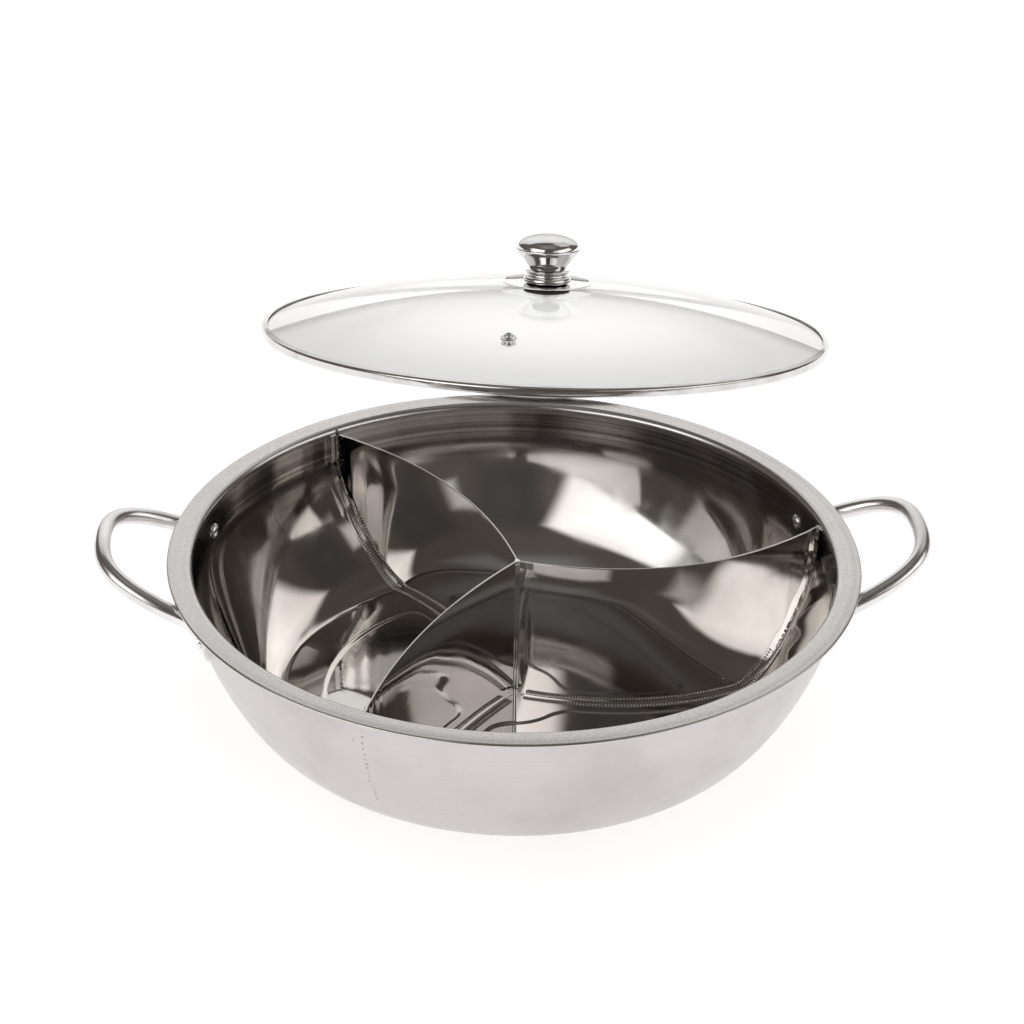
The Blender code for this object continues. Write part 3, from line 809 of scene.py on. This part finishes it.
def make_knob(pose, mat):
    """Plate, neck and cap, one on the other, each drawn from its own foot."""
    hole = SCREW_R + GAP
    disc = [(hole, 0.0), (0.0130, 0.0)]
    disc += bezier((0.0150, 0.0), (0.0200, 0.0003), (0.0250, 0.0009), (0.0281, 0.0015), 8)
    disc += arc((0.0281, 0.0019), 0.0004, -60, 90, 5)
    disc += bezier((0.0278, 0.0023), (0.0250, 0.0017), (0.0200, 0.0015), (0.0150, DISC_T), 8)
    disc += [(0.0130, DISC_T), (hole, DISC_T)]

    collar = [(hole, 0.0), (0.0133, 0.0)]
    collar += bezier((0.0138, 0.0002), (0.0156, 0.0012), (0.0156, 0.0034), (0.0138, 0.0043), 10)
    collar += bezier((0.0134, 0.0046), (0.0129, 0.0052), (0.0129, 0.0062), (0.0134, 0.0068), 6)
    collar += [(0.0140, 0.0071), (0.0142, 0.0074), (0.0142, 0.0078)]
    collar += [(0.0139, COLLAR_H), (hole, COLLAR_H)]

    cap = [(0.0060, 0.0), (0.0110, 0.0)]
    cap += bezier((0.0114, 0.0003), (0.0122, 0.0030), (0.0165, 0.0074), (0.0196, 0.0112), 12)
    cap += arc((0.0196, 0.0131), 0.0010, -60, 60, 8)
    for angle in range(6, 90, 6):
        a = math.radians(angle)
        cap.append((0.0201 * math.cos(a), 0.0142 + 0.0087 * math.sin(a)))

    foot = GLASS_TOP + GAP
    for name, node, profile, height in (
        ("knob_plate", "knob_disc", disc, DISC_T),
        ("knob_neck", "knob_collar", collar, COLLAR_H),
        ("knob_top", "knob_cap", cap, 0.0),
    ):
        place = pose @ Matrix.Translation((0.0, 0.0, foot))
        turned_piece(name, profile, KNOB_SIDES, mat, node, place, closed=profile is not cap)
        foot += height + GAP


def make_fastening(pose, rubber, steel):
    """Rubber washer and screw head under the glass."""
    under = GLASS_TOP - GLASS_T
    hole = SCREW_R + GAP
    washer = [(hole, under - GAP), (0.0147, under - 0.0004), (0.0150, under - 0.0007)]
    washer += [(0.0150, under - 0.0022), (0.0146, under - WASHER_T), (hole, under - WASHER_T)]
    turned_piece("washer_ring", washer, KNOB_SIDES, rubber, "knob_washer", pose)
    head = under - WASHER_T - GAP
    screw = [(0.0040, head - 0.0034)] + arc((0.0062, head - 0.0016), 0.0018, -90, 0, 6)
    screw += [(0.0080, head - 0.0002), (0.0078, head), (SCREW_R, head), (SCREW_R, GLASS_TOP + 0.0090)]
    turned_piece("screw_head", screw, SMALL_SIDES, steel, "knob_screw", pose, closed=False)


def make_vent(pose, mat):
    under = -GLASS_T - 0.0009
    eyelet = [
        (0.0016, under - 0.0010), (0.0044, under - 0.0010), (0.0046, under - 0.0006), (0.0044, under),
        (0.0029, under), (0.0029, 0.0004), (0.0047, 0.0004), (0.0049, 0.0007),
    ]
    eyelet += bezier((0.0047, 0.0010), (0.0040, 0.0013), (0.0030, 0.0013), (0.0027, 0.0016), 6)
    eyelet += bezier((0.0027, 0.0022), (0.0027, 0.0030), (0.0022, 0.0035), (0.0016, 0.0035), 8)
    eyelet += [(0.0012, 0.0033), (0.0012, 0.0010)]
    turned_piece("steam_vent", eyelet, SMALL_SIDES, mat, "lid_vent", pose @ vent_frame())


# Materials ------------------------------------

class Look:
    """One material: its shader and short ways to add nodes to it."""

    def __init__(self, name):
        self.mat = bpy.data.materials.new(name)
        self.mat.use_nodes = True
        self.nodes = self.mat.node_tree.nodes
        self.links = self.mat.node_tree.links
        self.shader = self.nodes["Principled BSDF"]

    @cached_property
    def place(self):
        return self.add("TexCoord").outputs["Object"]

    def feed(self, socket, value):
        if isinstance(value, bpy.types.NodeSocket):
            self.links.new(value, socket)
        else:
            socket.default_value = value

    def add(self, kind, inputs=(), **settings):
        node = self.nodes.new("ShaderNode" + kind)
        for key, value in settings.items():
            setattr(node, key, value)
        for key, value in dict(inputs).items():
            self.feed(node.inputs[key], value)
        return node

    def set(self, **values):
        """Set the shader's sockets, named with underscores in place of spaces."""
        for key, value in values.items():
            self.feed(self.shader.inputs[key.replace("_", " ")], value)

    def math(self, operation, first, second=0.0, third=0.0):
        return self.add("Math", {0: first, 1: second, 2: third}, operation=operation).outputs[0]

    def span(self, value, low, high, to_low=0.0, to_high=1.0):
        """Map a value from one range to another, smoothly and no further than its ends."""
        ends = {"Value": value, "From Min": low, "From Max": high, "To Min": to_low, "To Max": to_high}
        return self.add("MapRange", ends, interpolation_type="SMOOTHSTEP").outputs["Result"]

    def noise(self, scale, detail=2.0, place=None, stretch=(1.0, 1.0, 1.0)):
        """Noise between 0 and 1 with features of 1/scale metres, or drawn out along an axis."""
        mapping = self.add("Mapping", {"Vector": place or self.place, "Scale": stretch})
        inputs = {"Vector": mapping.outputs["Vector"], "Scale": scale, "Detail": detail}
        return self.add("TexNoise", inputs).outputs["Fac"]

    def mix(self, share, first, second):
        node = self.add("Mix", data_type="RGBA")
        self.feed(node.inputs["Factor"], share)
        self.feed(node.inputs["A"], (*first, 1.0) if isinstance(first, tuple) else first)
        self.feed(node.inputs["B"], (*second, 1.0) if isinstance(second, tuple) else second)
        return node.outputs["Result"]

    def rings(self):
        """Coordinates (distance from the pot's axis, height, a trace of the direction)."""
        split = self.add("SeparateXYZ", {"Vector": self.place})
        x, y, z = (split.outputs[axis] for axis in "XYZ")
        squares = self.math("MULTIPLY_ADD", x, x, self.math("MULTIPLY", y, y))
        radius = self.math("SQRT", squares)
        angle = self.math("ARCTAN2", y, x)
        trace = self.math("MULTIPLY", angle, 0.0006)
        return self.add("CombineXYZ", {"X": radius, "Y": z, "Z": trace}).outputs["Vector"]

    def bump(self, height, distance, strength=1.0):
        normal = self.add("Bump", {"Height": height, "Distance": distance, "Strength": strength})
        self.feed(self.shader.inputs["Normal"], normal.outputs["Normal"])

    def turned(self, amount):
        """Stretch gloss across the turning marks, which run round the pot's axis."""
        around = self.add("VectorMath", {0: (0.0, 0.0, 1.0), 1: self.place}, operation="CROSS_PRODUCT")
        self.feed(self.shader.inputs["Tangent"], around.outputs["Vector"])
        self.set(Anisotropic=amount, Anisotropic_Rotation=0.25)


def polished_sheet():
    """Mirror-polished sheet: cloudy in tone, with hairline scratches and a slight wave."""
    look = Look("polished_sheet")
    light = (0.76, 0.74, 0.725)
    cloud = look.noise(18.0, 3.0)
    fine = look.noise(900.0, 3.0, stretch=(1.0, 0.06, 0.3))
    hair = look.span(fine, 0.62, 0.78)
    steel = look.mix(look.span(cloud, 0.35, 0.65), light, (0.70, 0.68, 0.665))
    look.set(Base_Color=look.mix(look.math("MULTIPLY", hair, 0.25), steel, light))
    smear = look.span(look.noise(45.0, 4.0), 0.4, 0.75, 0.035, 0.085)
    look.set(Metallic=1.0, Roughness=look.math("MULTIPLY_ADD", hair, 0.10, smear))
    look.bump(look.math("MULTIPLY_ADD", fine, 0.02, look.noise(30.0, 1.0)), 0.0003, 0.35)
    return look.mat


def inside_steel():
    """Bowl's inside: mirror-polished below, and turned on a lathe up the wall, where its colour is
    darkened in streaks, partly turning marks and partly painted shade.
    """
    look = Look("polished_inside")
    around = look.rings()
    height = look.add("SeparateXYZ", {"Vector": look.place}).outputs["Z"]
    wall = look.span(height, POT_H - WALL_DROP - 0.014, POT_H - WALL_DROP + 0.010)
    lines = look.noise(2600.0, 2.0, around)
    broad = look.noise(420.0, 2.0, around)
    tone = look.span(look.noise(18.0, 3.0), 0.35, 0.65)
    sheet = look.mix(tone, (0.66, 0.64, 0.625), (0.59, 0.565, 0.545))
    # Up the wall: streaks of the turning marks, and painted shade as well: the colour is darkened
    # nearly to black, standing in for the dark room that the wall mirrors.
    streaks_and_shade = look.mix(look.span(broad, 0.32, 0.68), (0.54, 0.51, 0.485), (0.22, 0.205, 0.195))
    look.set(Base_Color=look.mix(wall, sheet, streaks_and_shade), Metallic=1.0)
    smear = look.span(look.noise(45.0, 4.0), 0.4, 0.75, 0.03, 0.08)
    marks = look.math("MULTIPLY", wall, look.span(lines, 0.25, 0.75, 0.08, 0.13))
    look.set(Roughness=look.math("ADD", smear, marks))
    look.bump(look.noise(30.0, 1.0), 0.0003, 0.35)
    look.turned(0.85)
    return look.mat


def satin_flange():
    """Granular satin steel with fine marks round the pot's axis, some of them deeper."""
    look = Look("satin_flange")
    grain = look.span(look.noise(1100.0, 3.0), 0.35, 0.65)
    around = look.rings()
    lines = look.noise(2600.0, 2.0, around)
    broad = look.noise(420.0, 2.0, around)
    cloud = look.span(look.noise(22.0, 3.0), 0.3, 0.7)
    cloudy = look.math("MULTIPLY", cloud, 0.2)
    marked = look.math("MULTIPLY_ADD", look.span(broad, 0.35, 0.7), 0.3, cloudy)
    tone = look.math("MULTIPLY_ADD", grain, 0.5, marked)
    look.set(Base_Color=look.mix(tone, (0.70, 0.68, 0.67), (0.54, 0.52, 0.51)), Metallic=1.0)
    look.set(Roughness=look.span(lines, 0.25, 0.75, 0.165, 0.275))
    relief = look.math("ADD", grain, look.math("MULTIPLY_ADD", broad, 0.5, lines))
    look.bump(relief, 0.00001, 0.5)
    look.turned(0.4)
    return look.mat


def satin_outside():
    """Satin outer face: fine marks round the pot, a few rubbed patches and dark specks."""
    look = Look("satin_outside")
    around = look.rings()
    lines = look.noise(2200.0, 2.0, around)
    rubbed = look.span(look.noise(16.0, 4.0), 0.45, 0.75)
    specks = look.span(look.noise(330.0, 1.0), 0.80, 0.86)
    steel = look.mix(rubbed, (0.615, 0.587, 0.593), (0.530, 0.505, 0.512))
    look.set(Base_Color=look.mix(specks, steel, (0.35, 0.33, 0.31)), Metallic=1.0)
    satin = look.span(lines, 0.3, 0.7, 0.27, 0.36)
    look.set(Roughness=look.math("MULTIPLY_ADD", rubbed, 0.06, satin))
    look.bump(lines, 0.00002, 0.5)
    look.turned(0.45)
    return look.mat


def weld_metal(name, light, dark, pits, gloss):
    """Weld beads: granular, heat-tinted from one tone to another, with pits and a range of gloss."""
    look = Look(name)
    grain = look.noise(1400.0, 4.0)
    heat = look.span(look.noise(160.0, 3.0), 0.3, 0.7)
    steel = look.mix(heat, light, dark)
    look.set(Base_Color=look.mix(look.span(grain, 0.55, 0.8), steel, pits), Metallic=1.0)
    look.set(Roughness=look.span(grain, 0.3, 0.7, *gloss))
    look.bump(grain, 0.0002, 0.8)
    return look.mat


def rod_steel():
    """Bent rod: satin drawn lines along it, rubbed brighter in patches."""
    look = Look("rod_steel")
    drawn = look.noise(1500.0, 2.0, stretch=(0.15, 0.10, 1.0))
    rubbed = look.span(look.noise(40.0, 3.0), 0.35, 0.7)
    look.set(Base_Color=look.mix(rubbed, (0.84, 0.83, 0.82), (0.70, 0.69, 0.68)), Metallic=1.0)
    worn = look.math("MULTIPLY_ADD", rubbed, 0.05, 0.14)
    look.set(Roughness=look.math("MULTIPLY_ADD", drawn, 0.10, worn))
    look.bump(drawn, 0.00003, 0.5)
    return look.mat


def lid_steel():
    """Rolled band and small turned parts: bright, with rolling marks and dulled spots."""
    look = Look("lid_steel")
    spots = look.span(look.noise(70.0, 4.0), 0.4, 0.7)
    marks = look.noise(1200.0, 2.0, stretch=(0.1, 0.1, 1.0))
    look.set(Base_Color=look.mix(spots, (0.72, 0.715, 0.71), (0.62, 0.61, 0.60)), Metallic=1.0)
    dulled = look.math("MULTIPLY_ADD", spots, 0.06, 0.06)
    look.set(Roughness=look.math("MULTIPLY_ADD", marks, 0.08, dulled))
    look.bump(marks, 0.00002, 0.5)
    return look.mat


def chrome():
    """Chromed knob: mirror with faint wiping marks."""
    look = Look("knob_chrome")
    wipe = look.span(look.noise(120.0, 4.0, stretch=(1.0, 0.4, 1.0)), 0.5, 0.8)
    look.set(Base_Color=look.mix(wipe, (0.80, 0.80, 0.80), (0.74, 0.735, 0.73)), Metallic=1.0)
    look.set(Roughness=look.math("MULTIPLY_ADD", wipe, 0.06, 0.02))
    look.bump(look.noise(260.0, 2.0), 0.00002, 0.3)
    return look.mat


def lid_glass(middle):
    """Clear tempered glass, painted grey towards its band as painted shade, with a faint smear left by
    wiping.
    """
    look = Look("clear_lid_glass")
    smear = look.span(look.noise(28.0, 4.0, stretch=(1.0, 0.5, 1.0)), 0.52, 0.78)
    reach = look.add("VectorMath", {0: look.place, 1: middle}, operation="DISTANCE").outputs["Value"]
    # Painted shade: the glass is tinted grey towards its band, standing in for the grey that the dome
    # shows there under the studio's light.
    band_shade_mask = look.span(reach, GLASS_R * 0.45, GLASS_R * 1.03)
    clear = look.mix(smear, (0.99, 0.995, 0.995), (0.97, 0.98, 0.98))
    look.set(Base_Color=look.mix(band_shade_mask, clear, (0.66, 0.665, 0.665)))
    look.set(Roughness=look.math("MULTIPLY", smear, 0.015), IOR=1.5, Transmission_Weight=1.0)
    look.bump(look.noise(9.0, 1.0), 0.0004, 0.2)
    return look.mat


def washer_rubber():
    """Dark rubber with pale dust in its pores."""
    look = Look("washer_rubber")
    pores = look.noise(900.0, 3.0)
    dust = look.span(pores, 0.55, 0.75)
    look.set(Base_Color=look.mix(dust, (0.035, 0.035, 0.035), (0.09, 0.088, 0.085)))
    look.set(Roughness=look.span(pores, 0.3, 0.7, 0.5, 0.75))
    look.bump(pores, 0.0002, 0.4)
    return look.mat


# Stage ----------------------------------------

def direction(azimuth, height):
    """Unit vector at an azimuth and a height, both angles in radians."""
    flat = math.cos(height)
    return Vector((flat * math.cos(azimuth), flat * math.sin(azimuth), math.sin(height)))


def make_camera():
    target = Vector((0.0, 0.0, POT_H))
    way = direction(CAMERA_AZ, CAMERA_EL)
    camera = bpy.data.cameras.new("camera")
    camera.lens = CAMERA_LENS
    camera.shift_x, camera.shift_y = CAMERA_SHIFT
    obj = bpy.data.objects.new("camera", camera)
    bpy.context.collection.objects.link(obj)
    turn = way.to_track_quat("Z", "Y").to_matrix().to_4x4()
    place = Matrix.Translation(target + way * CAMERA_DISTANCE)
    obj.matrix_world = place @ turn @ Matrix.Rotation(CAMERA_ROLL, 4, "Z")
    bpy.context.scene.camera = obj


def make_floor():
    """Large matt white table top that glows a little, as a lit table does."""
    bm = bmesh.new()
    bmesh.ops.create_grid(bm, x_segments=1, y_segments=1, size=FLOOR_SIZE)
    look = Look("pale_floor")
    look.set(Base_Color=(0.88, 0.88, 0.88, 1.0), Roughness=1.0, Specular_IOR_Level=0.0)
    look.set(Emission_Color=(1.0, 0.99, 0.99, 1.0), Emission_Strength=FLOOR_GLOW)
    new_object("floor", bm, [look.mat])


def make_screen(index, name, azimuth, elevation, width, height, brightness, fade):
    """A lit or dark rectangle facing the pot that only mirrors see."""
    turn = math.radians(azimuth)
    way = direction(turn, math.radians(elevation))
    across = Vector((-math.sin(turn), math.cos(turn), 0.0))
    middle = SCREEN_MIDDLE + way * (SCREEN_DISTANCE - SCREEN_STEP * index)
    bm = bmesh.new()
    layer = bm.loops.layers.uv.new("screen")
    corners = ((0, 0), (1, 0), (1, 1), (0, 1))
    verts = []
    for u, v in corners:
        sideways = across * (width * (u - 0.5))
        upwards = way.cross(across) * (height * (v - 0.5))
        verts.append(bm.verts.new(middle + sideways + upwards))
    for loop, corner in zip(bm.faces.new(verts).loops, corners):
        loop[layer].uv = corner
    screen = new_object(name, bm, [screen_material(name, brightness, fade)])
    screen.visible_camera = False
    screen.visible_diffuse = False
    screen.visible_shadow = False


def screen_material(name, brightness, softness):
    """Glow that is a little stronger in the middle and fades out at the edges."""
    look = Look(name)
    split = look.add("SeparateXYZ", {"Vector": look.add("UVMap").outputs["UV"]})
    sides = [look.math("PINGPONG", split.outputs[axis], 0.5) for axis in "XY"]
    nearest = look.math("MINIMUM", *sides)
    strength = look.span(nearest, 0.0, 0.5, brightness * SCREEN_EDGE, brightness * (2.0 - SCREEN_EDGE))
    glow = look.add("Emission", {"Color": (*SCREEN_COLOR, 1.0), "Strength": strength})
    clear = look.add("BsdfTransparent")
    seen = look.span(nearest, 0.0, softness)
    mix = look.add("MixShader", {0: seen, 1: clear.outputs[0], 2: glow.outputs[0]})
    look.links.new(mix.outputs[0], look.nodes["Material Output"].inputs["Surface"])
    look.nodes.remove(look.shader)
    return look.mat


def make_floor_light():
    """Wide light from above that matt things alone see, so that the floor is evenly white."""
    light = bpy.data.lights.new("sky_panel", "SUN")
    light.energy = FLOOR_LIGHT
    light.angle = FLOOR_LIGHT_ANGLE
    obj = bpy.data.objects.new("sky_panel", light)
    bpy.context.collection.objects.link(obj)
    obj.visible_glossy = False
    obj.visible_transmission = False


def make_world():
    """White where the camera looks past the floor, and a dark warm room in reflections."""
    world = bpy.data.worlds.new("studio")
    world.use_nodes = True
    bpy.context.scene.world = world
    nodes = world.node_tree.nodes
    links = world.node_tree.links
    path = nodes.new("ShaderNodeLightPath")
    mix = nodes.new("ShaderNodeMix")
    mix.data_type = "RGBA"
    mix.inputs["A"].default_value = (*ROOM_COLOR, 1.0)
    mix.inputs["B"].default_value = (1.0, 1.0, 1.0, 1.0)
    links.new(path.outputs["Is Camera Ray"], mix.inputs["Factor"])
    links.new(mix.outputs["Result"], nodes["Background"].inputs["Color"])


def make_stage():
    for index, screen in enumerate(SCREENS):
        make_screen(index, *screen)
    make_floor()
    make_floor_light()
    make_world()
    bpy.context.scene.view_settings.view_transform = "Standard"


def main():
    materials = [inside_steel(), satin_flange(), satin_outside()]
    sheet = polished_sheet()
    weld = weld_metal("weld_metal", (0.60, 0.56, 0.51), (0.34, 0.31, 0.29),
                      (0.16, 0.14, 0.13), (0.16, 0.42))
    # Painted highlight: the stitches get a much brighter copy of the weld metal, so that they look lit
    # by the light their tops catch.
    stitch_painted_highlight = weld_metal("stitch_metal_painted_highlight", (0.93, 0.91, 0.88), (0.84, 0.81, 0.78),
                        (0.62, 0.59, 0.56), (0.38, 0.62))
    rod = rod_steel()
    edge = lid_steel()
    knob = chrome()
    rubber = washer_rubber()
    make_bowl(materials)
    for blade in BLADES:
        make_partition(blade, sheet)
    make_stitches(stitch_painted_highlight)
    make_folds(sheet)
    make_tip_welds(weld)
    make_seam(sheet)
    make_hub_marks(weld, sheet)
    make_through_marks(weld)
    make_handle("handle_right", rod, 0.0)
    make_handle("handle_left", rod, math.pi)
    make_rivets(rod)
    pose = lid_pose()
    make_glass(pose, lid_glass(pose.translation))
    make_band(pose, edge)
    make_knob(pose, knob)
    make_fastening(pose, rubber, edge)
    make_vent(pose, edge)
    make_camera()
    make_stage()


for old in list(bpy.data.objects):
    bpy.data.objects.remove(old, do_unlink=True)
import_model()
RIM_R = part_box("pot_bowl")[1].x
POT_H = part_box("pot_bowl")[1].z
main()
